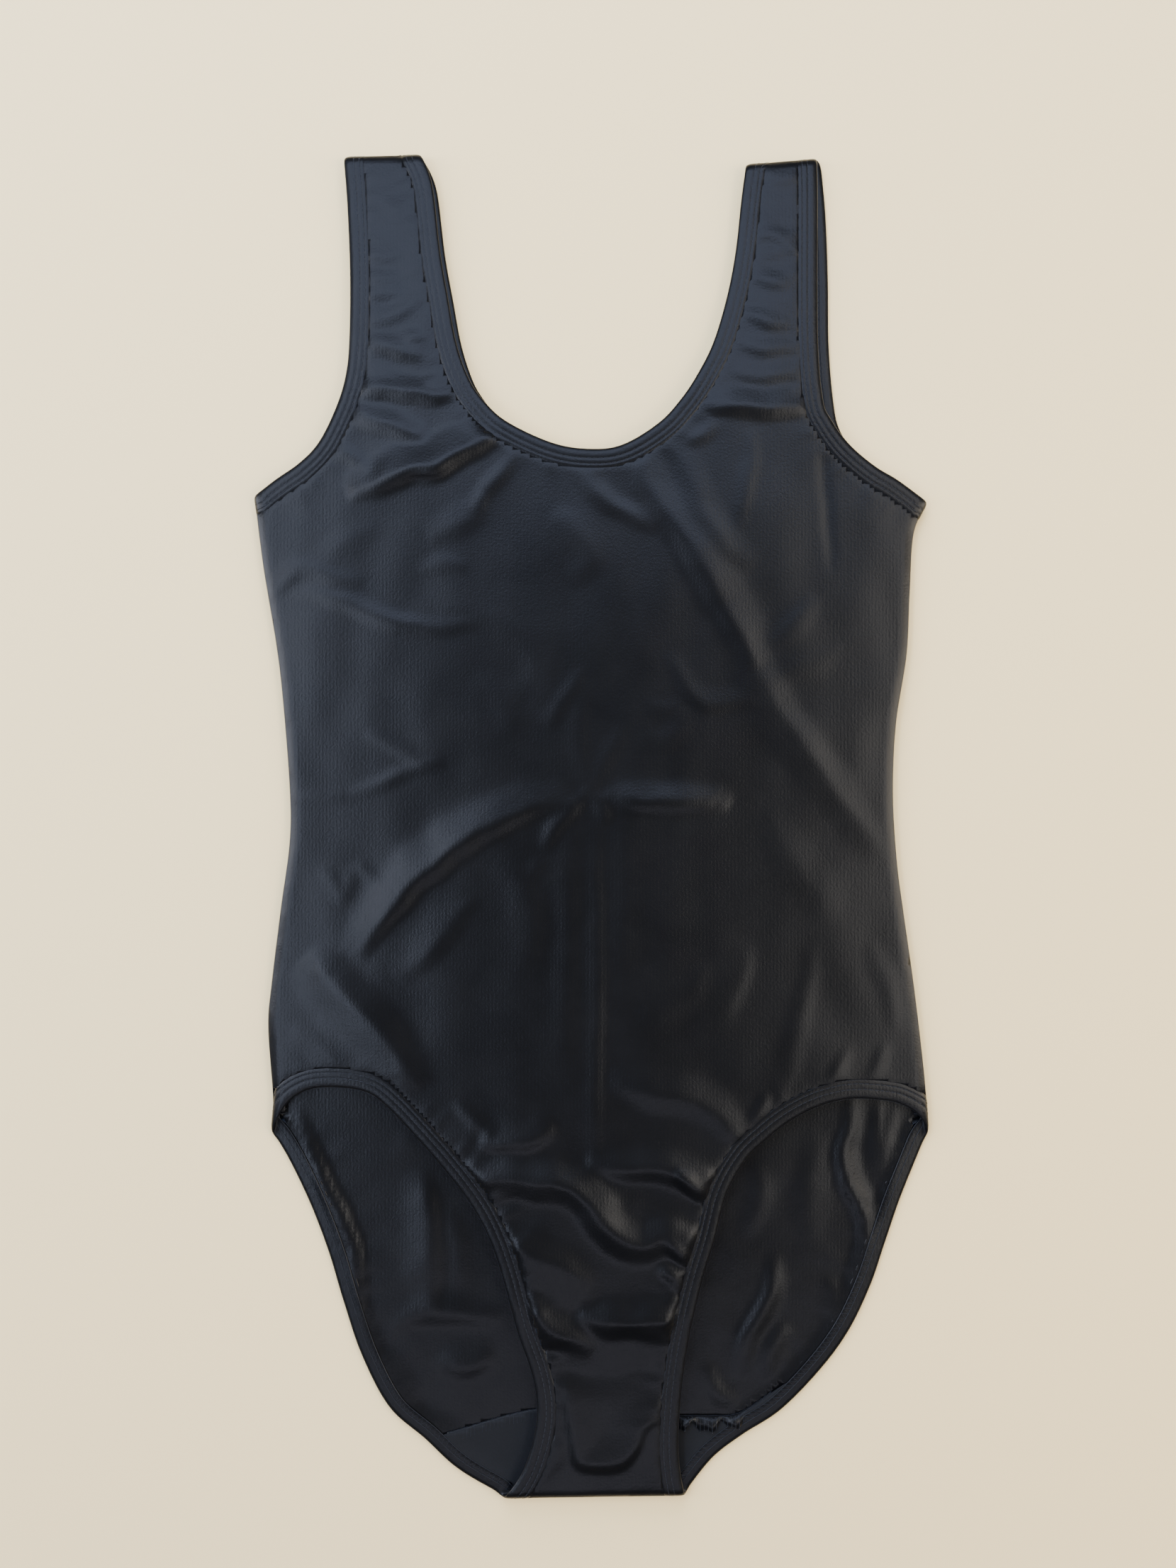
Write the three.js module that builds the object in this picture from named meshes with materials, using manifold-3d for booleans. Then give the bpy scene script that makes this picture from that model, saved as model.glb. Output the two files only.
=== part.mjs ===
// A tank leotard for gymnastics, laid flat on its back with the front facing up.
//
// It is sewn from a front panel, a back panel and a crotch lining. The front panel runs under the
// crotch and meets the back panel at a seam on the back. Every opening has a turned hem: the cloth is
// folded inwards over a flat elastic and held by a coverstitch. The panels meet at the side seams and
// the shoulder seams.
//
// Millimetres. +Z is up, +Y points from the crotch to the shoulders, +X to the wearer's left. The
// origin is on the surface that the leotard lies on, under the middle of its length and width.

import * as THREE from "three";
import { mergeVertices } from "three/addons/utils/BufferGeometryUtils.js";
import Module from "manifold-3d";

const wasm = await Module();
wasm.setup();

// ---------------------------------------------------------------- sizes

// The cut of the garment, measured flat.
const BODY_LENGTH = 690; // crotch fold to shoulder fold
const CHEST_WIDTH = 343; // underarm to underarm
const WAIST_WIDTH = 309;
const HIP_WIDTH = 337; // at the top of the leg openings
const STRAP_WIDTH = 43; // at the shoulder
const STRAP_SPACING = 158; // between the straps, at the shoulder
const NECK_DEPTH = 153; // shoulder to the bottom of the neckline
const BACK_NECK_DROP = 3; // how much lower the back neckline is
const ARMHOLE_DEPTH = 176; // shoulder to underarm
const WAIST_DEPTH = 330; // shoulder to the narrowest place
const SIDE_SEAM_LENGTH = 327; // underarm to the top of the leg opening
const CROTCH_WIDTH = 93; // along the crotch fold
const CROTCH_NARROWEST = 73; // the narrowest place of the front, above the fold
const CROTCH_TAIL = 47; // how far the front panel runs up the back
const LINING_RISE = 102; // how far the crotch lining runs up the front

// Cloth, elastic and thread.
const CLOTH = 0.6; // thickness of the knitted nylon and elastane
const LINING = 0.5; // thickness of the cotton jersey
const ELASTIC_WIDTH = 6;
const ELASTIC = 0.7;
const HEM_WIDTH = ELASTIC_WIDTH + 2;
const STITCH_GAUGE = 3.2; // between the two needle rows of the coverstitch
const STITCH_MARGIN = 1.2; // from the inner needle row to the raw edge of the hem
const STITCH = 0.35; // thickness of the looper thread
const ALLOWANCE_WIDTH = 5; // overlocked seam allowance
const ALLOWANCE = 1.4; // thickness of the two edges and their thread
const OVERLOCK_WIDTH = 4; // along the free edge of the lining
const GAP = 0.25; // between layers that lie on each other

// How high the front lies over the surface.
const SIDE_RISE = 7.5; // underside of the front panel at the side seams
const LOFT = 6.5; // how much higher it is along the middle
const CROTCH_LOFT_SHARE = 0.3; // share of that loft which is left at the crotch fold
const BACK_STRAP_SHIFT = 2; // how far the back straps lie to the side of the front ones

// Care label, a blank tape in the left side seam.
const LABEL_WIDTH = 30;
const LABEL_LENGTH = 38;
const LABEL = 0.3;
const LABEL_DEPTH = 250; // underarm to the middle of the label

// Landmarks that follow from the sizes.
const SHOULDER_Y = BODY_LENGTH / 2;
const CROTCH_Y = -BODY_LENGTH / 2;
const UNDERARM_Y = SHOULDER_Y - ARMHOLE_DEPTH;
const WAIST_Y = SHOULDER_Y - WAIST_DEPTH;
const HIP_Y = UNDERARM_Y - SIDE_SEAM_LENGTH;
const TAIL_Y = CROTCH_Y + CROTCH_TAIL;
const STRAP_INNER = STRAP_SPACING / 2;
const STRAP_OUTER = STRAP_INNER + STRAP_WIDTH;
const LEFT = 1; // the wearer's left is at +X
const RIGHT = -1;

// Where each layer of a hem starts, counted from the outer face of the cloth.
const ELASTIC_AT = CLOTH + GAP;
const TURNING_AT = ELASTIC_AT + ELASTIC + GAP;
const STITCH_AT = TURNING_AT + CLOTH + GAP;
const STITCH_END = STITCH_AT + STITCH;
const FOLD_START_Y = CROTCH_Y + STITCH_END + 1; // the leg edges are straight below this

// ---------------------------------------------------------------- outline of the cut

const CURVE_STEPS = 2; // points for each stretch of a curve
const mix = THREE.MathUtils.lerp;

// Each outline is a list of [share across, share down] between two landmarks.
const ARMHOLE = [
  [0, 0], [0.015, 0.3], [0.015, 0.5], [0.04, 0.66], [0.175, 0.785], [0.4, 0.884], [0.745, 0.955], [1, 1],
];
const NECKLINE = [
  [1, 0], [0.975, 0.22], [0.9, 0.45], [0.81, 0.64], [0.69, 0.78], [0.49, 0.905], [0.22, 0.982], [0, 1],
];
const LEG_FRONT = [
  [0, 0], [0.052, 0.067], [0.128, 0.1], [0.242, 0.112], [0.39, 0.1], [0.496, 0.058], [0.619, -0.016],
  [0.724, -0.096], [0.837, -0.257], [0.904, -0.449], [0.99, -0.72], [0.995, -0.85],
];
const LEG_BACK = [
  [0, 0], [0.121, 0.171], [0.247, 0.406], [0.413, 0.639], [0.55, 0.754], [0.775, 0.872], [0.93, 0.963],
  [1, 1],
];

// How far the laid garment lies to the side, as [share of the length from the crotch, millimetres].
const LIE = [
  [0, 1.5], [0.27, 4.3], [0.32, 2.7], [0.4, 0.3], [0.63, 0], [0.745, -1.6], [0.775, -1.8], [0.81, -4],
  [0.87, -1.2], [1, -3],
];
// The same for each layer below the hip, as [share of the way from the hip to the crotch, millimetres].
const LIE_FRONT = [[0, 0], [0.17, -2.5], [0.35, 2.7], [0.57, 4], [0.8, 8.3], [0.87, 6.7], [1, 0]];
const LIE_BACK = [[0, 0], [0.29, 3], [0.52, 2.2], [0.75, -4.6], [0.89, -7.3], [1, 0]];

// Reads a list of [place, value], smoothly from one entry to the next.
function along(list, place) {
  const next = list.findIndex(([at]) => at > place);
  if (next === 0) return list[0][1];
  if (next < 0) return list[list.length - 1][1];
  const [[from, low], [to, high]] = [list[next - 1], list[next]];
  return mix(low, high, THREE.MathUtils.smoothstep(place, from, to));
}

// Lays a point of the cut down: side is LEFT or RIGHT, half is its distance from the middle of the cut.
function laid(side, half, y, isBack) {
  const below = THREE.MathUtils.clamp((HIP_Y - y) / (HIP_Y - FOLD_START_Y), 0, 1);
  const strap = THREE.MathUtils.clamp((y - UNDERARM_Y) / ARMHOLE_DEPTH, 0, 1);
  const shift = isBack ? BACK_STRAP_SHIFT * Math.sin(Math.PI * strap) : 0;
  const lie = along(LIE, (y - FOLD_START_Y) / (SHOULDER_Y - FOLD_START_Y));
  const lieOfLayer = along(isBack ? LIE_BACK : LIE_FRONT, below);
  return new THREE.Vector2(side * half + lie + lieOfLayer + shift, y);
}

// A smooth edge through laid points. It runs the way the points do, mirrored where that is asked for.
function edge(side, isBack, points) {
  const curve = new THREE.SplineCurve(points.map(([half, y]) => laid(side, half, y, isBack)));
  return curve.getPoints(CURVE_STEPS * (points.length - 1));
}

const armhole = (side, isBack) =>
  edge(side, isBack, ARMHOLE.map(([across, down]) =>
    [mix(STRAP_OUTER, CHEST_WIDTH / 2, across), SHOULDER_Y - ARMHOLE_DEPTH * down]));

const sideSeam = (side, isBack) =>
  edge(side, isBack, [
    [CHEST_WIDTH / 2, UNDERARM_Y],
    [mix(CHEST_WIDTH, WAIST_WIDTH, 0.33) / 2, mix(UNDERARM_Y, WAIST_Y, 0.25)],
    [mix(CHEST_WIDTH, WAIST_WIDTH, 0.57) / 2, mix(UNDERARM_Y, WAIST_Y, 0.5)],
    [WAIST_WIDTH / 2, WAIST_Y],
    [mix(WAIST_WIDTH, HIP_WIDTH, 0.33) / 2, mix(WAIST_Y, HIP_Y, 0.31)],
    [mix(WAIST_WIDTH, HIP_WIDTH, 0.76) / 2, mix(WAIST_Y, HIP_Y, 0.58)],
    [HIP_WIDTH / 2, HIP_Y],
  ]);

function neckline(isBack) {
  const depth = NECK_DEPTH + (isBack ? BACK_NECK_DROP : 0);
  const half = NECKLINE.map(([across, down]) => [STRAP_INNER * across, SHOULDER_Y - depth * down]);
  const rightHalf = half.map(([x, y]) => laid(RIGHT, x, y, isBack));
  const leftHalf = half.map(([x, y]) => laid(LEFT, x, y, isBack)).reverse();
  const curve = new THREE.SplineCurve([...rightHalf, ...leftHalf.slice(1)]);
  return curve.getPoints(CURVE_STEPS * 2 * (half.length - 1));
}

// Both leg edges come straight down onto the crotch fold.
const foldEnd = (side, isBack) => laid(side, CROTCH_WIDTH / 2, CROTCH_Y, isBack);

const legFront = (side) => [
  ...edge(side, false, [
    ...LEG_FRONT.map(([across, up]) =>
      [mix(HIP_WIDTH, CROTCH_NARROWEST, across) / 2, HIP_Y + (HIP_Y - FOLD_START_Y) * up]),
    [CROTCH_WIDTH / 2, FOLD_START_Y],
  ]),
  foldEnd(side, false),
];

const legBack = (side) => [
  ...edge(side, true, LEG_BACK.map(([across, down]) =>
    [mix(HIP_WIDTH, CROTCH_WIDTH, across) / 2, mix(HIP_Y, FOLD_START_Y, down)])),
  foldEnd(side, true),
];

// Edges run clockwise round a layer as seen from above, so the cloth lies on their right.
function edgesOf(isBack) {
  const leg = isBack ? legBack : legFront;
  const arm = (side) => armhole(side, isBack);
  const seam = (side) => sideSeam(side, isBack);
  const found = {
    neck: neckline(isBack),
    left_armhole: arm(LEFT),
    left_side: seam(LEFT),
    left_leg: leg(LEFT),
    right_leg: leg(RIGHT).reverse(),
    right_side: seam(RIGHT).reverse(),
    right_armhole: arm(RIGHT).reverse(),
  };
  found.left_shoulder = [found.neck.at(-1), found.left_armhole[0]];
  found.crotch = [found.left_leg.at(-1), found.right_leg[0]];
  found.right_shoulder = [found.right_armhole.at(-1), found.neck[0]];
  return found;
}

const LEGS = ["left_leg", "right_leg"];
const OPENINGS = ["neck", "left_armhole", "right_armhole", ...LEGS];
const SEAMS = ["left_side", "right_side", "left_shoulder", "right_shoulder"];
const CLOSED = [...SEAMS, "crotch"]; // where the front goes over into the back

const ROUND = ["neck", "left_shoulder", "left_armhole", "left_side", "left_leg", "crotch", "right_leg",
  "right_side", "right_armhole", "right_shoulder"];
const outline = (edges) => ROUND.flatMap((name) => edges[name].slice(0, -1));

// ---------------------------------------------------------------- solids

const REACH = 60; // prisms run this far below and above the surface
const CELLS_X = 6; // facets of the domed front
const CELLS_Y = 10;

function solid(geometry) {
  geometry.deleteAttribute("normal");
  geometry.deleteAttribute("uv");
  const merged = mergeVertices(geometry, 1e-5);
  return new wasm.Manifold(new wasm.Mesh({
    numProp: 3,
    vertProperties: merged.attributes.position.array,
    triVerts: new Uint32Array(merged.index.array),
  }));
}

const union = (solids) => solids.reduce((sum, one) => sum.add(one));

function prism(points) {
  const shape = new THREE.Shape(points);
  const geometry = new THREE.ExtrudeGeometry(shape, { depth: 2 * REACH, bevelEnabled: false });
  return solid(geometry.translate(0, 0, -REACH));
}

// A strip along an edge, from one distance inside it to another. It runs on past both ends.
function strip(points, from, to) {
  const way = (a, b) => b.clone().sub(a).normalize();
  const ends = 2 * HEM_WIDTH;
  const first = points[0].clone().addScaledVector(way(points[0], points[1]), -ends);
  const last = points.at(-1).clone().addScaledVector(way(points.at(-2), points.at(-1)), ends);
  const path = [first, ...points, last];
  const inward = path.map((point, i) => {
    const ahead = way(path[Math.max(i - 1, 0)], path[Math.min(i + 1, path.length - 1)]);
    return new THREE.Vector2(ahead.y, -ahead.x);
  });
  const at = (distance) => path.map((point, i) => point.clone().addScaledVector(inward[i], distance));
  return prism([...at(from), ...at(to).reverse()]);
}

const strips = (edges, names, from, to) => union(names.map((name) => strip(edges[name], from, to)));

// A slice of the length, as a tall box.
function lengthwise(lowY, highY) {
  const box = new THREE.BoxGeometry(2 * CHEST_WIDTH, highY - lowY, 2 * REACH);
  return solid(box.translate(0, (lowY + highY) / 2, 0));
}
const below = (y) => lengthwise(y - BODY_LENGTH, y);
const above = (y) => lengthwise(y, y + BODY_LENGTH);

// Everything between two surfaces, each a height for each x and y.
function between(low, high) {
  const geometry = new THREE.BoxGeometry(1.3 * CHEST_WIDTH, 1.1 * BODY_LENGTH, 2, CELLS_X, CELLS_Y, 1);
  const place = geometry.attributes.position;
  for (let i = 0; i < place.count; i++) {
    const height = place.getZ(i) > 0 ? high : low;
    place.setZ(i, height(place.getX(i), place.getY(i)));
  }
  return solid(geometry);
}

const level = (z) => () => z;

// Outer face of the front, less a depth. It is highest along the middle and lower at the crotch.
const frontFace = (depth) => (x, y) => {
  const across = Math.min(Math.abs(x) / (CHEST_WIDTH / 2), 1);
  const share = mix(CROTCH_LOFT_SHARE, 1, THREE.MathUtils.smoothstep(y, CROTCH_Y, HIP_Y));
  return SIDE_RISE + LOFT * (1 - across * across) * share + CLOTH - depth;
};

// The two sides of the garment: its edges, its cut, a layer between two depths under its outer face,
// and the space for its closed edges, which stop short of the middle height by the given distance.
const MIDDLE_Z = (SIDE_RISE + CLOTH) / 2;
const frontEdges = edgesOf(false);
const backEdges = edgesOf(true);
const FRONT = {
  edges: frontEdges,
  cut: prism(outline(frontEdges)),
  layer: (from, to) => between(frontFace(to), frontFace(from)),
  rim: (from, short) => between(level(MIDDLE_Z + short), frontFace(from)),
};
const BACK = {
  edges: backEdges,
  cut: prism(outline(backEdges)),
  layer: (from, to) => between(level(from), level(to)),
  rim: (from, short) => between(level(from), level(MIDDLE_Z - short)),
};
const APART = GAP / 2; // for closed edges that only meet
const JOINED = -GAP / 5; // for closed edges that run over into each other

// One side between two depths, counted from its outer face and from its closed edges alike.
function shell({ edges, cut, layer, rim }, from, to, short) {
  const closed = strips(edges, CLOSED, from, to).intersect(rim(from, short));
  const outside = strips(edges, CLOSED, -HEM_WIDTH, from);
  return layer(from, to).subtract(outside).add(closed.subtract(outside)).intersect(cut);
}

// Cloth of one side: the sheet with its hems turned in at the openings.
function cloth(side, short) {
  const fold = strips(side.edges, OPENINGS, -CLOTH, CLOTH);
  const hem = strips(side.edges, OPENINGS, -CLOTH, HEM_WIDTH);
  return union([
    shell(side, 0, CLOTH, short),
    shell(side, 0, TURNING_AT + CLOTH, short).intersect(fold),
    shell(side, TURNING_AT, TURNING_AT + CLOTH, short).intersect(hem),
  ]);
}

// A band round an opening that lies in both sides and runs over from one into the other.
function band(name, inside, width, from, thickness) {
  const parts = [FRONT, BACK].map((side) =>
    shell(side, from, from + thickness, JOINED).intersect(strip(side.edges[name], inside, inside + width)));
  return union(parts);
}

// ---------------------------------------------------------------- parts

const nearFold = below(CROTCH_Y + STITCH_END);
const hemsOf = ({ edges }, names) => strips(edges, names, -HEM_WIDTH, HEM_WIDTH + GAP);
const bothHems = (names) => hemsOf(FRONT, names).add(hemsOf(BACK, names));

// The front goes round the crotch fold and ends as a tail on the back.
function frontPanel() {
  const tail = cloth(BACK, APART).intersect(below(TAIL_Y - APART));
  const fold = cloth(FRONT, JOINED).add(cloth(BACK, JOINED)).intersect(nearFold);
  return union([cloth(FRONT, APART), tail, fold]);
}

const backPanel = () => cloth(BACK, APART).intersect(above(TAIL_Y + APART));

// Cotton lining over the crotch, from its free front edge round the fold to the crotch seam.
function crotchLining() {
  const inner = (side) => shell(side, ELASTIC_AT, ELASTIC_AT + LINING, JOINED).subtract(hemsOf(side, LEGS));
  return inner(FRONT).intersect(below(CROTCH_Y + LINING_RISE))
    .add(inner(BACK).intersect(below(TAIL_Y - ALLOWANCE_WIDTH / 2 - GAP)))
    .subtract(nearFold.intersect(bothHems(LEGS)));
}

// Overlock thread along the free edge of the lining.
function liningOverlock() {
  const at = ELASTIC_AT + LINING + GAP;
  const edgeY = CROTCH_Y + LINING_RISE;
  return FRONT.layer(at, at + STITCH)
    .intersect(lengthwise(edgeY - OVERLOCK_WIDTH, edgeY))
    .intersect(FRONT.cut)
    .subtract(hemsOf(FRONT, LEGS));
}

const elastic = (name) => band(name, ELASTIC_AT, ELASTIC_WIDTH, ELASTIC_AT, ELASTIC);

// Looper side of the coverstitch, on the inside of the hem between the two needle rows.
const coverstitch = (name) =>
  band(name, HEM_WIDTH - STITCH_MARGIN - STITCH_GAUGE, STITCH_GAUGE, STITCH_AT, STITCH);

// Overlocked allowance of a side or shoulder seam, from one hem to the next.
function seam(name) {
  return strip(FRONT.edges[name], ELASTIC_AT, ELASTIC_AT + ALLOWANCE_WIDTH)
    .intersect(between(level(MIDDLE_Z - ALLOWANCE / 2), level(MIDDLE_Z + ALLOWANCE / 2)))
    .intersect(FRONT.cut)
    .intersect(BACK.cut)
    .subtract(bothHems(OPENINGS));
}

// The crotch seam lies on the back, between the leg hems.
function crotchSeam() {
  return BACK.layer(ELASTIC_AT, ELASTIC_AT + ALLOWANCE)
    .intersect(lengthwise(TAIL_Y - ALLOWANCE_WIDTH / 2, TAIL_Y + ALLOWANCE_WIDTH / 2))
    .intersect(BACK.cut)
    .subtract(hemsOf(BACK, LEGS));
}

// Blank woven label, caught in the side seam.
function careLabel() {
  const start = ELASTIC_AT + ALLOWANCE_WIDTH + GAP;
  const y = UNDERARM_Y - LABEL_DEPTH;
  return strip(FRONT.edges.left_side, start, start + LABEL_WIDTH)
    .intersect(lengthwise(y - LABEL_LENGTH / 2, y + LABEL_LENGTH / 2))
    .intersect(between(level(MIDDLE_Z - LABEL / 2), level(MIDDLE_Z + LABEL / 2)));
}

// ---------------------------------------------------------------- assembly

const JERSEY = { color: 0x17191f, roughness: 0.62, metalness: 0 };
const COTTON = { color: 0x1b1c20, roughness: 0.92, metalness: 0 };
const RUBBER = { color: 0x2a2b2e, roughness: 0.8, metalness: 0 };
const THREAD = { color: 0x202228, roughness: 0.7, metalness: 0 };
const TAPE = { color: 0xd9d9d4, roughness: 0.6, metalness: 0 };

const group = new THREE.Group();

function add(name, body, look) {
  const { numProp, vertProperties, triVerts } = body.getMesh();
  const position = new Float32Array((vertProperties.length / numProp) * 3);
  for (let i = 0; i * 3 < position.length; i++) {
    position.set(vertProperties.subarray(i * numProp, i * numProp + 3), i * 3);
  }
  const geometry = new THREE.BufferGeometry();
  geometry.setAttribute("position", new THREE.BufferAttribute(position, 3));
  geometry.setIndex(new THREE.BufferAttribute(new Uint32Array(triVerts), 1));
  geometry.computeVertexNormals();
  const mesh = new THREE.Mesh(geometry, new THREE.MeshStandardMaterial(look));
  mesh.name = name;
  group.add(mesh);
}

add("front_panel", frontPanel(), JERSEY);
add("back_panel", backPanel(), JERSEY);
add("crotch_lining", crotchLining(), COTTON);
add("lining_overlock", liningOverlock(), THREAD);
for (const name of OPENINGS) {
  add(`${name}_elastic`, elastic(name), RUBBER);
  add(`${name}_coverstitch`, coverstitch(name), THREAD);
}
for (const name of SEAMS) {
  add(`${name}_seam`, seam(name), THREAD);
}
add("crotch_seam", crotchSeam(), THREAD);
add("care_label", careLabel(), TAPE);

// The middle of the length and width goes to the origin. The back already lies on the surface.
const middle = new THREE.Box3().setFromObject(group).getCenter(new THREE.Vector3());
for (const mesh of group.children) {
  mesh.geometry.translate(-middle.x, -middle.y, 0);
}

export default group;
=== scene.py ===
# A tank leotard for gymnastics, laid flat on its back with the front up.
# Everything is in metres in the CAD frame: +Y to the shoulders, +X to the wearer's left, +Z up. Outlines and
# heights are written in millimetres and scaled by MM.

import bmesh
import bpy
import math
import numpy as np
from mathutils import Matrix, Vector, noise


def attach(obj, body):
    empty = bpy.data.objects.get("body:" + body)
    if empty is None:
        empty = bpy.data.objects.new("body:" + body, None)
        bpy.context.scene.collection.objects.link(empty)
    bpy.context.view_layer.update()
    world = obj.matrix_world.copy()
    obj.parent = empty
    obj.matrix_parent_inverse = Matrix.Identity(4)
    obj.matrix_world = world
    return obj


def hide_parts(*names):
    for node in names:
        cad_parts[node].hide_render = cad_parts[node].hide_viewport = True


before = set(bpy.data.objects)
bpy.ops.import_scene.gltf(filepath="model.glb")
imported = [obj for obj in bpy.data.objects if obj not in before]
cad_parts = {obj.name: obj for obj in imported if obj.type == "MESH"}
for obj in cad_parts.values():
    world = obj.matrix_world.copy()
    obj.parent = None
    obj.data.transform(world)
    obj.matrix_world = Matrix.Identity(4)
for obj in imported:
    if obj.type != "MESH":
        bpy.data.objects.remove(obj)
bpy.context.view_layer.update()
MM = 0.001


# ---------------------------------------------------------------- camera
# A view straight down on the leotard from about arm's length.

CAMERA_HEIGHT = 0.70
VIEW_HEIGHT = 0.8012  # length of the floor that the view takes in
VIEW_CENTRE = (-0.0022, 0.0216)

lens = bpy.data.cameras.new("camera")
lens.sensor_width = 36
lens.lens = lens.sensor_width * (CAMERA_HEIGHT - 0.006) / VIEW_HEIGHT
lens.clip_start = 0.01
camera = bpy.data.objects.new("camera", lens)
camera.location = (*VIEW_CENTRE, CAMERA_HEIGHT)
bpy.context.scene.collection.objects.link(camera)
bpy.context.scene.camera = camera


# ---------------------------------------------------------------- light and floor
# Soft window light from all round and none from straight above. The garment lies on a pale matt floor.

def linear(hex_colour):
    channels = [int(hex_colour[i:i + 2], 16) / 255 for i in (0, 2, 4)]
    return [c / 12.92 if c <= 0.04045 else ((c + 0.055) / 1.055) ** 2.4 for c in channels] + [1.0]


def area_light(name, place, target, size, watts, colour):
    data = bpy.data.lights.new(name, "AREA")
    data.shape = "RECTANGLE"
    data.size, data.size_y = size
    data.energy = watts
    data.color = linear(colour)[:3]
    light = bpy.data.objects.new(name, data)
    light.location = place
    light.rotation_euler = (Vector(target) - Vector(place)).to_track_quat("-Z", "Y").to_euler()
    light.visible_camera = False
    bpy.context.scene.collection.objects.link(light)


# Low panels all round light the floor. Narrow ones beside and above the garment make the sheen at its edges,
# and leave a dark room for its middle to mirror.
area_light("window_top", (-0.30, 1.60, 0.75), (0, 0, 0), (2.0, 0.8), 60, "E2EBFF")
area_light("window_left", (-1.60, 0.20, 0.75), (0, 0, 0), (0.7, 1.8), 44, "E8EEFF")
area_light("wall_right", (1.60, 0.0, 0.75), (0, 0, 0), (0.7, 1.8), 36, "FFF3E2")
area_light("room_low", (0.0, -1.60, 0.75), (0, 0, 0), (1.8, 0.7), 8, "FFF4E6")
for name in ("window_top", "room_low"):
    bpy.data.objects[name].visible_glossy = False  # the cloth mirrors the narrow ones instead
area_light("strip_left", (-0.58, 0.05, 1.00), (-0.58, 0.05, 0), (0.24, 1.4), 11.5, "D6E3FF")
area_light("strip_right", (0.64, 0.0, 1.00), (0.64, 0, 0), (0.30, 1.4), 9.0, "FFFAF4")
area_light("strip_top", (-0.12, 0.74, 1.00), (-0.12, 0.74, 0), (1.2, 0.50), 14.0, "C6D6FA")
area_light("strip_low", (0.0, -0.84, 1.00), (0, -0.84, 0), (0.9, 0.16), 2.5, "ECEBFF")

world = bpy.data.worlds.new("room")
world.use_nodes = True
world.node_tree.nodes["Background"].inputs["Color"].default_value = linear("BFC2C6")
world.node_tree.nodes["Background"].inputs["Strength"].default_value = 0.10
bpy.context.scene.world = world


def material(name):
    made = bpy.data.materials.new(name)
    made.use_nodes = True
    return made, made.node_tree.nodes["Principled BSDF"]


def add_node(owner, kind, settings=(), links=()):
    """A node with its settings, and links given as {its input: another node's output}."""
    tree = owner.node_tree
    node = tree.nodes.new(kind)
    for key, value in dict(settings).items():
        if isinstance(key, str) and hasattr(node, key):
            setattr(node, key, value)
        else:
            node.inputs[key].default_value = value
    for key, source in dict(links).items():
        tree.links.new(source, node.inputs[key])
    return node


def object_place(owner):
    return add_node(owner, "ShaderNodeTexCoord").outputs["Object"]


def raise_surface(owner, shader, height, strength, depth):
    """A bump in a material, from a texture's output."""
    bump = add_node(owner, "ShaderNodeBump", {"Strength": strength, "Distance": depth}, {"Height": height})
    owner.node_tree.links.new(bump.outputs["Normal"], shader.inputs["Normal"])


floor_paint, floor_shader = material("floor_matt_paint")
floor_shader.inputs["Base Color"].default_value = linear("F7DDA2")
floor_shader.inputs["Roughness"].default_value = 0.9
bm = bmesh.new()
bmesh.ops.create_grid(bm, x_segments=1, y_segments=1, size=2.5)
floor_mesh = bpy.data.meshes.new("floor")
bm.to_mesh(floor_mesh)
bm.free()
floor_mesh.materials.append(floor_paint)
floor = bpy.data.objects.new("floor", floor_mesh)
bpy.context.scene.collection.objects.link(floor)


# ---------------------------------------------------------------- the cut as it lies
# Edges of the front and of the back, in millimetres. Openings have hems; closed edges are seams or folds.
# Edges run so that the cloth is on their right, which is clockwise as seen from above.

STEP = 1.0  # spacing of the points along an edge


def lengths_along(line):
    return np.concatenate([[0], np.cumsum(np.linalg.norm(np.diff(line, axis=0), axis=1))])


def smooth_line(points, step=STEP):
    """Points at an even spacing along a smooth curve through a few given ones."""
    p = np.array(points, float)
    p = np.vstack([2 * p[0] - p[1], p, 2 * p[-1] - p[-2]])
    t = np.linspace(0, 1, 24, endpoint=False)[:, None]
    parts = []
    for a, b, c, d in zip(p[:-3], p[1:-2], p[2:-1], p[3:]):
        parts.append(b + 0.5 * t * (c - a + t * (2 * a - 5 * b + 4 * c - d + t * (3 * (b - c) + d - a))))
    line = np.vstack([*parts, p[-2:-1]])
    along = lengths_along(line)
    at = np.linspace(0, along[-1], max(2, round(along[-1] / step) + 1))
    return np.column_stack([np.interp(at, along, line[:, k]) for k in (0, 1)])


RIGHT_UNDERARM, LEFT_UNDERARM = (-173, 168.6), (171.5, 165.6)
RIGHT_HIP, LEFT_HIP = (-164.5, -157), (172.3, -157)
FOLD_RIGHT, FOLD_LEFT = (-46, -344), (47.5, -342.5)

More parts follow.
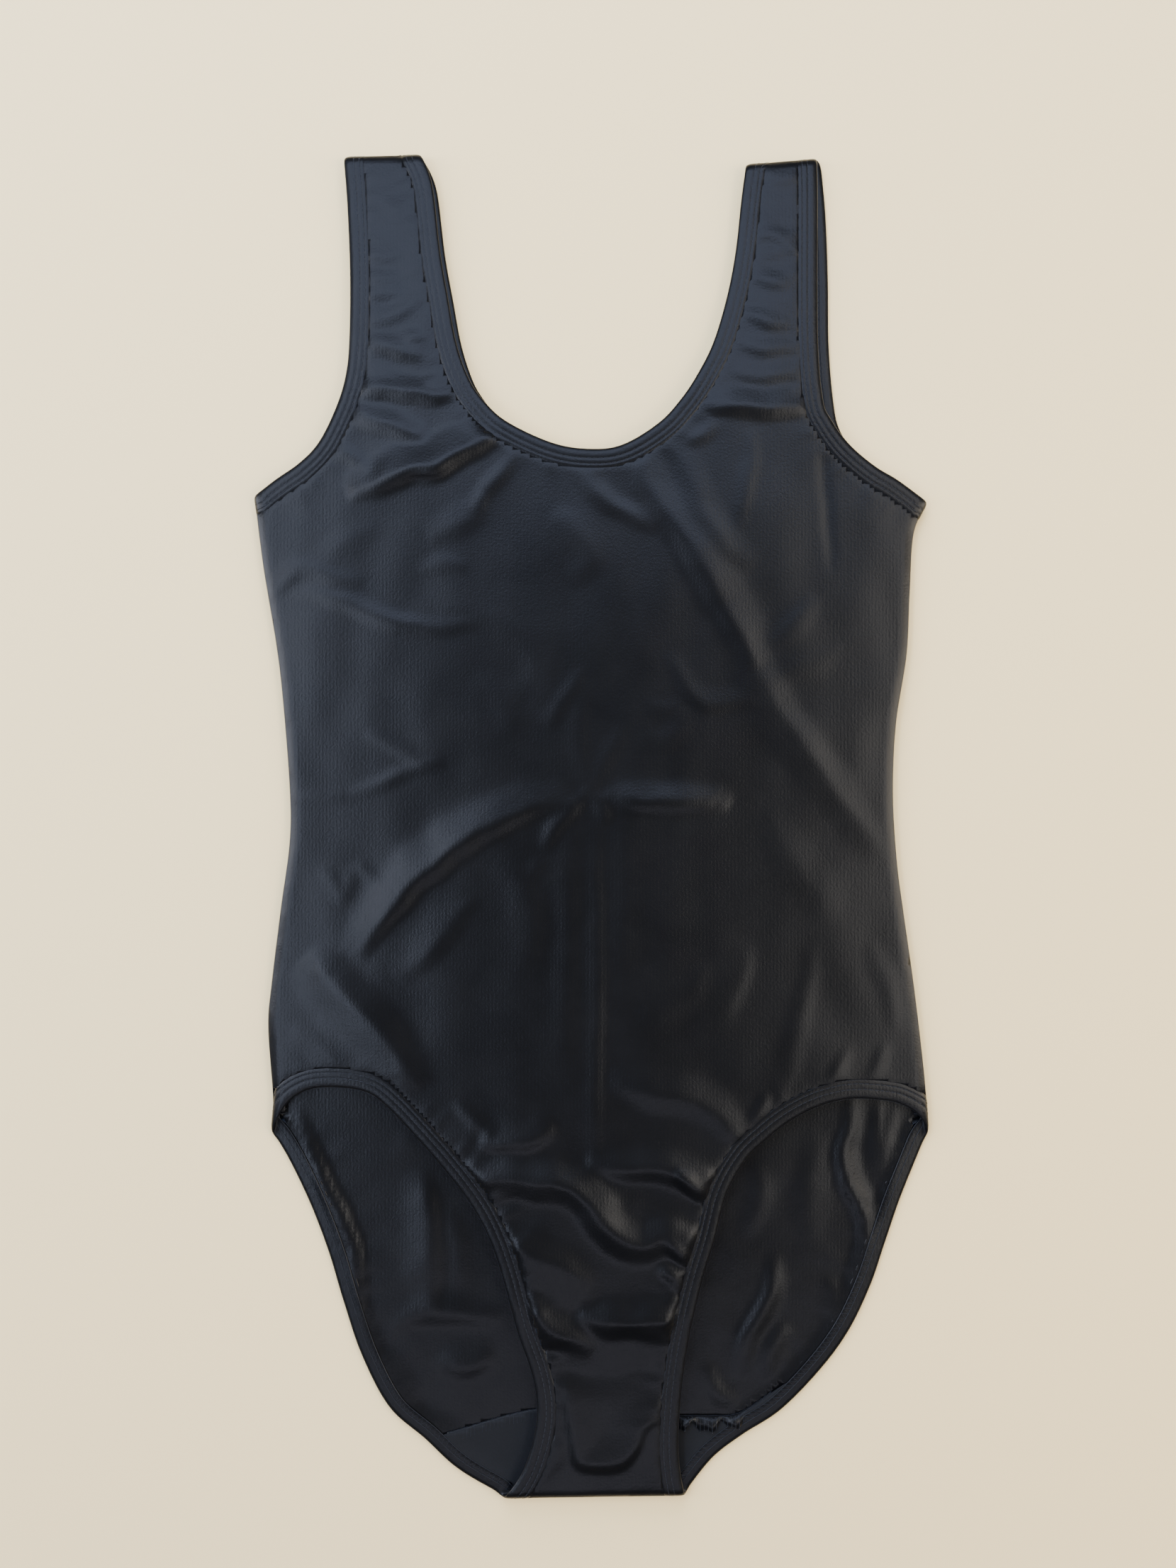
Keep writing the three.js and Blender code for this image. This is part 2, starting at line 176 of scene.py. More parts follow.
front = {
    "neck": [(-88.5, 343.5), (-84.6, 337), (-81.2, 325), (-77.5, 293), (-73.6, 270), (-69.4, 247), (-63.5, 229.5),
             (-56, 217.5), (-43.6, 206), (-20, 195), (0, 192), (16, 194.5), (34, 205.5), (45.5, 218), (54, 231),
             (61.8, 247), (68.6, 270), (73, 293), (76, 320), (78.5, 338.5)],
    "left_armhole": [(114.5, 341.5), (115, 320), (115, 250), (117.5, 218), (122, 207), (131, 195), (144, 184),
                     (156.5, 176.5), LEFT_UNDERARM],
    "left_side": [LEFT_UNDERARM, (164.6, 150), (162.6, 120), (161, 88), (155.5, 52), (154, 16), (156, -18),
                  (159.5, -45), (165, -84), (170, -127), LEFT_HIP],
    "left_leg": [LEFT_HIP, (167.5, -148), (158, -142), (148, -139.8), (132, -139), (116, -142.5), (101, -150),
                 (88, -160), (78, -170), (68.5, -187), (62.5, -210), (56, -232), (50, -258), (46, -284),
                 (44, -312), (45, -330), FOLD_LEFT],
    "right_leg": [FOLD_RIGHT, (-36.5, -331), (-30.5, -314), (-28.3, -297), (-31, -279), (-38.5, -257),
                  (-46, -229), (-53.5, -208), (-63, -191), (-77, -173), (-92, -156), (-104, -143.5),
                  (-114, -136), (-128, -133.3), (-143, -134), (-153.5, -139), (-160.5, -148), RIGHT_HIP],
    "right_side": [RIGHT_HIP, (-163.5, -140), (-166, -103), (-164.3, -81), (-159.5, -42), (-155, -8),
                   (-155, 20), (-158.6, 66), (-162, 94), (-168.5, 133), RIGHT_UNDERARM],
    "right_armhole": [RIGHT_UNDERARM, (-162, 177), (-149.5, 185.5), (-139.5, 196), (-131, 213), (-126, 229),
                      (-124, 247), (-123.6, 280), (-125, 316), (-127, 342.5)],
}
back = {
    "neck": [(-88, 343.5), (-83.6, 337), (-79.6, 325), (-75.6, 293), (-71.5, 270), (-67.2, 247), (-61.6, 229.5),
             (-56, 219.5), (-44, 204), (-20, 191), (0, 188), (17, 190.5), (37, 202.5), (50, 218), (58.5, 232),
             (67, 250), (74, 275), (79.5, 300), (82, 325), (83.5, 338.5)],
    "left_armhole": [(117.5, 341), (120, 313), (121.2, 280), (121.6, 247), (124, 218), (127.5, 203), (137.5, 189),
                     (150, 180), LEFT_UNDERARM],
    "left_side": front["left_side"],
    "left_leg": [LEFT_HIP, (166, -172), (158, -192), (150.5, -214), (143, -236), (132, -259), (117.5, -279),
                 (97, -300), (77, -313), (61.5, -325), FOLD_LEFT],
    "right_leg": [FOLD_RIGHT, (-69, -330.5), (-86, -315), (-104.5, -298.5), (-118.5, -272), (-128, -244),
                  (-135.5, -219), (-145, -194), (-156, -171), RIGHT_HIP],
    "right_side": front["right_side"],
    "right_armhole": [RIGHT_UNDERARM, (-161, 177), (-147, 186), (-136, 198), (-128, 215), (-123.5, 232),
                      (-121.5, 250), (-121.3, 290), (-123, 320), (-124.5, 342.5)],
}
OPENINGS = ("neck", "left_armhole", "right_armhole", "left_leg", "right_leg")
CLOSED = ("left_shoulder", "left_side", "crotch", "right_side", "right_shoulder")
ROUND = ("neck", "left_shoulder", "left_armhole", "left_side", "left_leg", "crotch", "right_leg", "right_side",
         "right_armhole", "right_shoulder")
for layer in (front, back):
    for name in list(layer):
        layer[name] = smooth_line(layer[name])
    layer["left_shoulder"] = smooth_line([layer["neck"][-1], layer["left_armhole"][0]])
    layer["crotch"] = smooth_line([layer["left_leg"][-1], layer["right_leg"][0]])
    layer["right_shoulder"] = smooth_line([layer["right_armhole"][-1], layer["neck"][0]])


def outline_of(layer, high=1000.0):
    """All edges of a layer as one line, up to a given height on the body."""
    whole = np.vstack([layer[part][:-1] for part in ROUND])
    return whole[whole[:, 1] < high]


def nearest(points, line):
    """For each point: distance to a line's nearest point, and that point's number."""
    far, which = np.empty(len(points)), np.empty(len(points), int)
    for start in range(0, len(points), 4000):
        some = points[start:start + 4000]
        square = ((some[:, None, :] - line[None, :, :]) ** 2).sum(axis=2)
        which[start:start + 4000] = square.argmin(axis=1)
        far[start:start + 4000] = np.sqrt(square.min(axis=1))
    return far, which


def inward(line):
    """Unit vectors that point into the cloth, at each point of an edge."""
    ahead = np.gradient(line, axis=0)
    ahead /= np.linalg.norm(ahead, axis=1)[:, None]
    return np.column_stack([ahead[:, 1], -ahead[:, 0]])


# ---------------------------------------------------------------- how the cloth lies
# Heights of the two layers. The front is a low dome with creases from packing, drag lines from the elastics
# and short puckers along the hems. Both layers roll over into each other at their closed edges.

MIDDLE = 3.3  # height at which the layers meet
FRONT_TOP = 6.2  # of the front at its closed edges
LOFT = 4.0  # how much higher it is along the middle
BACK_LOW = 0.45  # of the back, clear of its hems
HEM_LIFT = 0.8  # the hems of the back are thicker, so they lift it
ROLL = 4.0  # width of the roll at a closed edge
HEM = 8.0  # width of a hem
CREST = 1.3  # how round the top of a crease is
FOOT = 0.22  # and how round its foot is
SLACK = 1.5  # how far a side runs out, by its length
FAINT = 1.7  # on the front, a crease lower than this has been pulled partly flat again


def ridge(x, y, points, height, left, right):
    """A crease along a smooth line. It falls away evenly, over one length on its left and another on its right."""
    line = smooth_line(points, 1.5)
    out = np.zeros(len(x))
    reach = 4 * max(left, right)
    near = np.flatnonzero((x > line[:, 0].min() - reach) & (x < line[:, 0].max() + reach)
                          & (y > line[:, 1].min() - reach) & (y < line[:, 1].max() + reach))
    if not len(near):
        return out
    spots = np.column_stack([x[near], y[near]])
    far, which = nearest(spots, line)
    into = inward(line)[which]
    on_right = ((spots - line[which]) * into).sum(axis=1) > 0
    taper = np.clip(np.sin(math.pi * which / (len(line) - 1)), 0, 1) ** 0.75
    length = np.where(on_right, right, left) * (0.55 + 0.45 * taper)
    down = 1 - (np.hypot(far, CREST) - CREST) / (SLACK * length)
    out[near] = height * taper * (down + np.hypot(down, FOOT)) / 2
    return out


# Each crease: its points, its height, and how far it falls away on the left and on the right of the way it runs.
FRONT_CREASES = [
    # The star at the middle of the waist, where the garment was folded, and its rays.
    ([(4, 15.5), (12, 13.6), (25, 12.6), (42, 12), (56, 12.6), (70, 12)], 2.3, 7.0, 4.0),
    ([(-8, 13), (-20.6, 11.4), (-38.8, 6.2), (-59.6, -4.2), (-73.5, -14.6), (-90.8, -28.4), (-104.7, -44),
      (-115, -58), (-121, -68)], 3.0, 4.6, 11.0),
    ([(-2, 17), (-12, 7), (-18, -0.7), (-26, -12)], 1.3, 2.6, 3.6),
    ([(-23, -17), (-28, -21), (-33, -24)], 0.5, 2.6, 3.0),
    ([(-5, 80), (-12, 68), (-19, 57), (-24, 49)], 0.8, 2.8, 3.6),
    ([(-3, 74), (-6.5, 55), (-5.5, 38), (-3, 20)], 0.5, 2.8, 5.0),
    ([(15, 52), (10, 40), (3, 27), (0, 20)], 0.5, 3.4, 3.0),
    ([(1, 17), (5, 8), (9, 1)], 1.0, 2.6, 3.0),
    ([(-5, 21), (0, 17), (5, 14)], 0.5, 3.0, 3.0),
    ([(-9, 6), (-12, -20), (-13, -60), (-15, -95), (-15, -122)], 0.6, 5.0, 5.0),
    ([(3, 8), (2, -30), (2.6, -90), (1.6, -150), (2, -186)], 0.9, 2.6, 4.2),
    ([(14, 6), (16, -30), (15, -74)], 0.3, 5.0, 4.0),
    # Across the right of the chest.
    ([(-125, 169), (-108, 173.5), (-94, 180), (-80, 182.5), (-64, 191), (-52, 197), (-42, 197)], 4.2, 10.5, 3.4),
    ([(-36, 194), (-45, 181), (-55, 169), (-61, 158)], 1.2, 2.8, 3.4),
    ([(-55, 170), (-60, 159), (-70, 152), (-84, 146)], 1.0, 4.0, 7.0),
    ([(-134, 193), (-124, 189.5), (-114, 181)], 1.0, 2.6, 2.4),
    ([(-108, 154), (-124, 145), (-142, 134)], 0.4, 5.0, 5.0),
    ([(-153, 120), (-134, 116.5), (-120, 110.5), (-104, 104.2), (-90, 102), (-74, 101.3), (-56, 102.5)],
     1.4, 4.2, 2.6),
    ([(-166, 113), (-157, 126), (-148, 131.5), (-136, 128.5), (-116, 122)], 0.9, 3.4, 3.0),
    ([(-92, 110), (-62, 110), (-38, 99), (-29, 82), (-38, 64)], 0.8, 12.0, 7.0),
    ([(-88, 131), (-74, 133), (-62, 131)], 0.5, 3.0, 2.2),
    ([(-22, 158), (-10, 152), (-2, 138), (-10, 122)], 0.8, 6.0, 6.0),
    ([(-64, 72), (-50, 68), (-42, 56), (-46, 44)], 0.5, 7.0, 5.0),
    # Across the left of the chest.
    ([(20, 189), (31, 169), (42, 154), (54, 136), (64, 118), (74, 100), (84, 80)], 1.8, 11.0, 6.0),
    ([(-7, 182), (-1, 172), (8, 164), (22, 157), (34, 151)], 1.2, 4.0, 3.0),
    ([(40, 196), (49, 178), (58, 158), (70, 142), (82, 131)], 1.1, 6.0, 4.0),
    ([(82, 203), (80, 180), (75, 152)], 0.7, 2.8, 3.2),
    ([(116, 198), (118, 172), (121, 150), (123, 128)], -0.7, 2.0, 2.0),
    ([(62, 206), (56, 199), (46, 196)], 0.8, 2.4, 2.4),
    ([(38, 88), (45, 74), (51, 66), (58, 61.8), (67, 62.5), (82, 62.8)], 0.9, 4.6, 1.8),
    ([(26, 63), (38, 60), (48, 63)], 0.5, 2.5, 4.5),
    ([(48, 61), (44, 50), (36, 43), (24, 49)], 0.6, 4.6, 4.4),
    ([(68, 112), (82, 82), (92, 63), (103, 46), (118, 26), (134, 4), (150, -16)], 1.6, 7.0, 9.0),
    ([(128, 92), (112, 82), (100, 78), (88, 70)], 0.4, 5.0, 5.0),
    ([(114, 118), (104, 104), (90, 92)], 0.6, 5.0, 4.0),
    # Small ones at the right side.
    ([(-124, 17.5), (-106, 23), (-91, 29), (-75, 32)], 0.9, 2.4, 2.4),
    ([(-117, 48), (-100, 40), (-87, 34), (-75, 31)], 0.8, 2.6, 2.0),
    ([(-154, 16), (-138, 15.3), (-120, 16)], 0.5, 2.0, 2.0),
    ([(-139, -20), (-131, -30), (-127, -35), (-122, -24), (-118, -17)], 0.5, 2.8, 2.8),
    ([(-120, -18), (-114, -24), (-107, -26)], 0.6, 2.0, 2.0),
    # Lower on the body.
    ([(-146, -66), (-128, -84), (-112, -101), (-99, -116), (-87, -134)], 2.6, 9.0, 13.0),
    ([(-154, -104), (-138, -112), (-124, -126)], 0.8, 6.0, 5.0),
    ([(-60, -34), (-72, -50), (-84, -64), (-99, -77)], 1.3, 4.6, 9.0),
    ([(-50, -18), (-36, -30), (-30, -52), (-34, -74)], 0.8, 6.0, 7.0),
    ([(80, -60), (76, -74), (71, -88), (64, -98)], 0.6, 3.4, 6.0),
    ([(86, 8), (100, -12), (112, -30), (120, -50)], 0.7, 8.0, 8.0),
    ([(114, -58), (110, -80), (105, -102), (100, -124), (96, -141)], 0.6, 4.0, 4.6),
    ([(140, -58), (150, -80), (156, -104)], 0.6, 4.0, 4.0),
    ([(150, -110), (143, -126), (139, -137)], 0.8, 2.6, 2.6),
    ([(131, -112), (124, -126), (119, -137)], 0.6, 2.4, 2.4),
    ([(90, -135), (86, -144), (81, -152)], 1.0, 1.8, 1.8),
    ([(8, -128), (26, -133.5), (44, -138), (58, -142.5), (67, -150), (73, -162)], 2.1, 9.0, 6.0),
    ([(22, -96), (36, -94), (50, -84), (58, -70)], 0.7, 6.0, 5.0),
    ([(-70, -141), (-60, -149), (-50, -157)], 1.1, 2.6, 2.2),
    ([(-58, -159), (-44, -160.5), (-30, -159), (-18, -152)], 1.8, 8.0, 4.0),
    # Folds across the crotch.
    ([(-84, -189), (-64, -181.5), (-45, -178.5), (-28, -180), (-12, -182.5), (-2, -190), (6, -201), (15, -209.5),
      (26, -212.5), (38, -208.5), (54, -212), (72, -219)], 4.0, 7.6, 6.5),
    ([(-4, -172), (14, -173), (34, -174), (58, -181), (76, -188)], 2.6, 7.5, 5.0),
    ([(-3, -188), (12, -190), (28, -197), (46, -204)], 0.8, 7.0, 5.0),
    ([(40, -175), (49, -182), (60, -192)], 2.2, 2.6, 1.5),
    ([(-66, -204), (-54, -208), (-38, -215), (-18, -223), (0, -233)], 2.2, 7.0, 8.0),
    ([(-46, -226), (-30, -231), (-14, -235), (4, -238)], 1.0, 6.0, 6.0),
    ([(-58, -229), (-42, -240), (-30, -249.5), (-20, -257), (-8, -262.5), (2, -266)], 3.2, 7.5, 5.0),
    ([(-8, -247), (4, -251), (18, -252.3), (32, -251.3), (46, -250), (60, -250)], 3.8, 7.5, 5.5),
    ([(36, -211), (43, -216), (51, -226)], 2.2, 2.6, 1.5),
    ([(33, -224), (40, -229), (47, -236)], 1.8, 2.6, 1.5),
    ([(24, -258.5), (34, -258), (44, -260)], 0.9, 2.0, 1.3),
    ([(-36, -252), (-24, -266), (-10, -277), (8, -280), (26, -275), (42, -269)], -1.2, 9.0, 8.0),
    # The end of the crotch lining shows through the front.
    ([(-15, -280), (-13, -292), (-11.5, -303), (-8.5, -315), (-5, -324), (4, -325.5), (14, -323.5), (21, -317),
      (26, -307), (32, -300), (40, -290)], 1.7, 11.0, 1.8),
    ([(30, -303), (30.4, -322), (30, -341)], 0.5, 1.0, 1.0),
    ([(33.6, -303), (34, -322), (33.6, -341)], 0.45, 1.0, 1.0),
    ([(-13, -309), (-18, -322), (-28, -336)], 0.8, 2.0, 2.6),
    # Across the straps.
    ([(-123, 211), (-108, 205.5), (-95, 201.5), (-84, 199.5)], 1.8, 5.0, 3.4),
    ([(-121, 223.5), (-108, 222), (-95, 220.5), (-82, 218.6), (-69, 219.5)], 2.1, 5.6, 2.3),
    ([(-118, 246), (-103, 243.5), (-95, 241), (-85, 240)], 1.6, 4.8, 2.3),
    ([(-98, 249.5), (-90, 248.3), (-84, 249)], 0.9, 2.6, 1.3),
    ([(-87, 226.5), (-80, 226.8), (-74, 228.5)], 0.8, 2.2, 1.3),
    ([(-118, 231), (-108, 232), (-98, 229)], 0.5, 3.0, 2.0),
    ([(-116, 256), (-104, 258.5), (-92, 265), (-84, 272)], 0.7, 4.0, 2.2),
    ([(-117, 269.5), (-106, 271), (-95, 270)], 0.6, 3.0, 1.8),
    ([(-116, 281), (-107, 278), (-98, 279)], 0.6, 2.6, 1.8),
    ([(-116, 291), (-105, 289.5), (-96, 292)], 0.5, 2.6, 1.8),
    ([(-108, 318), (-100, 315), (-93, 318)], 0.4, 3.0, 2.4),
    ([(58, 213.5), (72, 212.5), (90, 212.3), (112, 213)], 2.3, 8.0, 2.3),
    ([(70, 231), (84, 229), (96, 229.5), (110, 230)], 1.2, 5.0, 2.4),
    ([(74, 246), (86, 242), (96, 243.5), (106, 243)], 0.9, 4.0, 2.2),
    ([(76, 261), (88, 257.5), (102, 257)], 1.0, 3.6, 2.0),
    ([(80, 281), (91, 277), (102, 275)], 0.9, 3.2, 2.0),
    ([(82, 303), (90, 302), (99, 297), (108, 293)], 0.8, 3.4, 2.2),
    ([(84, 293), (92, 291.5), (99, 292)], 0.5, 2.4, 1.8),
    ([(84, 336), (96, 330), (108, 334)], 0.5, 4.0, 3.0),
]
BACK_CREASES = [
    # Inside of the back, as it shows through the leg openings.
    ([(-152, -144), (-147, -160), (-141, -174), (-134, -188), (-127, -204), (-122, -218), (-120, -240),
      (-118, -266)], 2.6, 1.8, 6.5),
    ([(-146, -166), (-140, -180), (-134, -194), (-127, -212)], 0.9, 1.5, 1.8),
    ([(-87, -176), (-84, -200), (-82.5, -225), (-83, -252)], 1.7, 4.0, 10.0),
    ([(-104, -258), (-88, -251.5), (-70, -250.5), (-46, -255)], 1.2, 6.0, 4.0),
    ([(-80, -276), (-64, -278), (-50, -273)], 1.1, 7.0, 3.4),
    ([(-112, -270), (-100, -284), (-96, -298)], 0.9, 5.0, 4.0),
    ([(-84, -302), (-73, -311), (-66, -322)], 0.7, 3.0, 3.0),
    ([(-74, -196), (-70, -214), (-68, -238)], 0.8, 4.0, 5.0),
    ([(133, -138), (131.5, -155), (127.8, -164), (127.8, -172), (130, -182), (134, -190), (138, -199), (140, -210),
      (139, -219), (135.6, -227), (132.6, -235), (131, -246)], 2.3, 5.0, 1.6),
    ([(148, -140), (146.5, -158), (144, -180)], 1.1, 2.4, 1.8),
    ([(155, -143), (151.5, -163), (147, -186)], 1.1, 2.4, 1.8),
    ([(163, -152), (157, -172), (150, -194)], 0.9, 2.6, 1.8),
    ([(94, -220), (92, -236), (87.5, -247), (81.5, -257), (77.5, -269), (76.5, -284)], 2.0, 5.0, 2.2),
    ([(100, -256), (91.5, -269), (87, -284)], 1.4, 5.0, 2.6),
    ([(118, -158), (112, -184), (112, -214)], 0.9, 7.0, 6.0),
    ([(86, -172), (86, -192), (80, -212)], 0.8, 4.0, 3.6),
    ([(122, -232), (126, -248), (122, -262)], 0.8, 4.0, 4.0),
    ([(60, -277), (61.5, -288), (67, -294), (76, -296)], 1.1, 3.0, 3.4),
]


def undulation(x, y, size, seed):
    """Smooth random height, about -1 to 1, with features of a given size."""
    return np.array([noise.noise(Vector((a / size, b / size, seed))) for a, b in zip(x, y)])


def smoothstep(value, low, high):
    t = np.clip((value - low) / (high - low), 0, 1)
    return t * t * (3 - 2 * t)


def puckers(spots, layer):
    """Short creases at right angles to the hems, where the elastic gathers the cloth."""
    out = np.zeros(len(spots))
    chance = np.random.default_rng(21)
    # how high they are, and how far they run in
    for name, height, reach in (("neck", 0.28, 5), ("left_armhole", 0.28, 5), ("right_armhole", 0.28, 5),
                                ("left_leg", 0.75, 7), ("right_leg", 0.75, 7)):
        far, which = nearest(spots, layer[name])
        s = which * STEP
        at = 4.0
        while at < s.max() + 8:
            middle = layer[name][min(int(at), len(layer[name]) - 1)]
            size = height * chance.uniform(0.35, 1.15)
            if name.endswith("leg"):
                size *= 0.22 + 0.78 * float(smoothstep(-middle[1], 140, 178) * smoothstep(middle[1], -330, -288))
            lean, wide, long = chance.uniform(-0.35, 0.35), chance.uniform(1.2, 2.1), reach * chance.uniform(0.6, 1.7)
            near = np.flatnonzero((np.abs(s - at) < 14) & (far < HEM + 4 * reach))
            beyond = far[near] - HEM
            run = s[near] - at + lean * beyond
            width = wide * (1 + np.clip(beyond, 0, 30) / 14)
            rise = 0.1 + 0.9 * smoothstep(beyond, 0.5, 4)
            out[near] += size * rise * np.exp(-(run / width) ** 2 - np.maximum(beyond - 3, 0) / long)
            at += chance.uniform(5.5, 12.5)
    return out


def from_openings(spots, layer):
    """How far spots lie from the nearest folded edge of a hem."""
    return np.min([nearest(spots, layer[name])[0] for name in OPENINGS], axis=0)


def free_of_hems(far):
    """0 on the hems, which the elastic keeps smooth, and 1 where the cloth is free."""
    return smoothstep(far, HEM, HEM + 5)


def wander(x, y, size, amount, seed):
    """The same spots moved about a little, so that no crease runs true."""
    return x + amount * undulation(x, y, size, seed), y + amount * undulation(x, y, size, seed + 50)


def lay_front(x, y):
    """Height of the front's cloth in millimetres, before it rolls over at the closed edges."""
    x, y = np.asarray(x, float), np.asarray(y, float)
    spots = np.column_stack([x, y])
    across = np.clip(np.abs(x) / 172, 0, 1)
    length = 0.35 + 0.65 * smoothstep(y, -345, -120)
    strap = 1 - 0.45 * smoothstep(y, 190, 330)
    z = FRONT_TOP + LOFT * (1 - across ** 2) * length * strap
    z += 0.5 * undulation(x, y, 52, 3.1)
    folds = 0.34 * undulation(x, 0.6 * y, 19, 7.7)
    a, b = wander(x, y, 13, 1.5, 2.3)
    for points, height, left, right in FRONT_CREASES:
        folds += ridge(a, b, points, height * (0.7 if height < FAINT else 1), left, right)
    return z + (0.12 + 0.88 * free_of_hems(from_openings(spots, front))) * folds + puckers(spots, front)


def lay_back(x, y):
    """The same for the back. It never goes below the surface that it lies on."""
    x, y = np.asarray(x, float), np.asarray(y, float)
    spots = np.column_stack([x, y])
    folds = 0.5 * np.clip(undulation(x, y, 40, 9.4), 0, 1) + 0.35 * np.clip(undulation(x, y, 16, 4.4), 0, 1)
    a, b = wander(x, y, 13, 1.5, 6.1)
    for points, height, left, right in BACK_CREASES:
        folds += ridge(a, b, points, height, left, right)
    far = from_openings(spots, back)
    lift = HEM_LIFT * (1 - free_of_hems(far))
    return BACK_LOW + lift + folds * smoothstep(far, 4, HEM + 6) + 0.6 * puckers(spots, back)


def round_over(z, far):
    """Brings a layer to the middle height where it rolls over at a closed edge."""
    t = np.clip(1 - far / ROLL, 0, 1)
    return MIDDLE + (z - MIDDLE) * np.sqrt(1 - t ** 2)


# ---------------------------------------------------------------- front and back panels
# Knitted nylon and elastane jersey, 0.6 mm thick. The front panel runs round the crotch fold and ends on the
# back, where the crotch seam joins it to the back panel.

CLOTH = 0.6
CELL = 2.1  # of the net that the cloth is made from
TUCK = 8.0  # the sheet stops this far inside the folded edges, under the hems' inner edge
SEAM_Y = -300.0  # where the crotch seam crosses the middle


def seam_course(x):
    """How far the crotch seam lies above its middle: it rises towards the left leg and sinks towards the right."""
    x = np.asarray(x, float)
    return 22 * smoothstep(x, 68, 112) - 4 * smoothstep(x, 0, 50) - 14 * smoothstep(-x, 20, 90)


def inside(points, line):
    """Which points lie inside a closed line."""
    hits = np.zeros(len(points), bool)
    x, y = points[:, 0], points[:, 1]
    for (ax, ay), (bx, by) in zip(line, np.roll(line, -1, axis=0)):
        if ay != by:
            hits ^= ((ay > y) != (by > y)) & (x < (bx - ax) * (y - ay) / (by - ay) + ax)
    return hits


def snap_to(verts, line):
    """Moves each vertex onto a line's nearest point."""
    which = nearest(np.array([v.co[:2] for v in verts]) / MM, line)[1]
    for v, place in zip(verts, line[which]):
        v.co.x, v.co.y = place * MM


def cloth_net(layer, cell):
    """A flat net in the outline of a layer, in metres, with finer rows along its border."""
    outline = outline_of(layer)
    hemmed = np.vstack([layer[name] for name in OPENINGS])
    tucked = np.vstack([layer[name] + TUCK * inward(layer[name]) for name in OPENINGS])
    tucked = tucked[inside(tucked, outline) & (nearest(tucked, hemmed)[0] > TUCK - 0.05)]
    shut = np.vstack([layer[name] for name in CLOSED])
    shut = shut[nearest(shut, hemmed)[0] > TUCK - 0.05]
    border = np.vstack([tucked, shut])
    low, high = outline.min(axis=0) - cell, outline.max(axis=0) + cell
    bm = bmesh.new()
    counts = np.ceil((high - low) / cell).astype(int)
    bmesh.ops.create_grid(bm, x_segments=counts[0], y_segments=counts[1], size=0.5)
    bmesh.ops.scale(bm, vec=(*((high - low) * MM), 1), verts=bm.verts)
    bmesh.ops.translate(bm, vec=(*((high + low) / 2 * MM), 0), verts=bm.verts)
    faces = list(bm.faces)
    centres = np.array([f.calc_center_median()[:2] for f in faces]) / MM
    keep = inside(centres, outline) & (nearest(centres, hemmed)[0] > TUCK + 0.3 * cell)
    bmesh.ops.delete(bm, geom=[f for f, kept in zip(faces, keep) if not kept], context="FACES")
    for _ in range(3):
        thin = [f for f in bm.faces if sum(e.is_boundary for e in f.edges) > 2]
        bmesh.ops.delete(bm, geom=thin, context="FACES")
    rim = [v for v in bm.verts if v.is_boundary]
    snap_to(rim, border)
    for v in rim:
        beside = [e.other_vert(v).co for e in v.link_edges if e.is_boundary]
        if len(beside) == 2 and (beside[0] - beside[1]).length > 1e-6:
            v.co = 0.5 * v.co + 0.25 * (beside[0] + beside[1])
    snap_to(rim, border)
    edge = set(rim)
    near = {v for r in rim for f in r.link_faces for v in f.verts} - edge
    near |= {v for r in near for f in r.link_faces for v in f.verts} - edge
    for _ in range(6):
        bmesh.ops.smooth_vert(bm, verts=list(near), factor=0.5, use_axis_x=True, use_axis_y=True)
    for _ in range(2):
        bmesh.ops.inset_region(bm, faces=list(bm.faces), thickness=0.5 * MM, use_boundary=True)
    return bm


def shape_net(bm, layer, lay, side):
    """Lays a net. Its border dips under the hems' inner edge: side is 1 for the front and -1 for the back."""
    spots = np.array([v.co[:2] for v in bm.verts]) / MM
    far = nearest(spots, np.vstack([layer[name] for name in CLOSED]))[0]
    hemmed = nearest(spots, np.vstack([layer[name] for name in OPENINGS]))[0]
    sunk = side * 0.3 * (1 - smoothstep(hemmed, TUCK + 0.4, TUCK + 2.0))
    z = round_over(lay(spots[:, 0], spots[:, 1]) - sunk, far)
    for v, height in zip(bm.verts, z):
        v.co.z = height * MM


def finish_object(bm, name, look):
    mesh = bpy.data.meshes.new(name)
    bm.to_mesh(mesh)
    bm.free()
    mesh.materials.append(look)
    mesh.shade_smooth()
    made = bpy.data.objects.new(name, mesh)
    bpy.context.scene.collection.objects.link(made)
    return made


def thicken(piece, thickness):
    modifier = piece.modifiers.new("thickness", "SOLIDIFY")
    modifier.thickness = thickness * MM
    modifier.offset = 0.0


# Warp-knitted nylon and elastane, dyed black: a satin face with a cool bloom, and fine lengthwise wales.
WALE = 0.9  # real wales are 0.5 mm apart; drawn coarser so that they show
GRAIN = 1.1  # real loops are 0.4 mm; drawn coarser too
jersey, shader = material("nylon_elastane_jersey_knitted")
place = object_place(jersey)
cloud = add_node(jersey, "ShaderNodeTexNoise", {"Scale": 34.0, "Detail": 3.0, "Roughness": 0.55}, {"Vector": place})
tone = add_node(jersey, "ShaderNodeValToRGB", links={"Fac": cloud.outputs["Fac"]})
tone.color_ramp.elements[0].position, tone.color_ramp.elements[1].position = 0.3, 0.72
tone.color_ramp.elements[0].color = linear("070708")
tone.color_ramp.elements[1].color = linear("0B0B0C")
wales = add_node(jersey, "ShaderNodeTexWave", {
    "wave_type": "BANDS", "bands_direction": "X", "Scale": 1 / (WALE * MM) / 20 * math.pi, "Distortion": 0.6,
    "Detail": 1.0, "Detail Scale": 3.0}, {"Vector": place})
grain = add_node(jersey, "ShaderNodeTexNoise", {"Scale": 1 / (GRAIN * MM), "Detail": 2.0}, {"Vector": place})
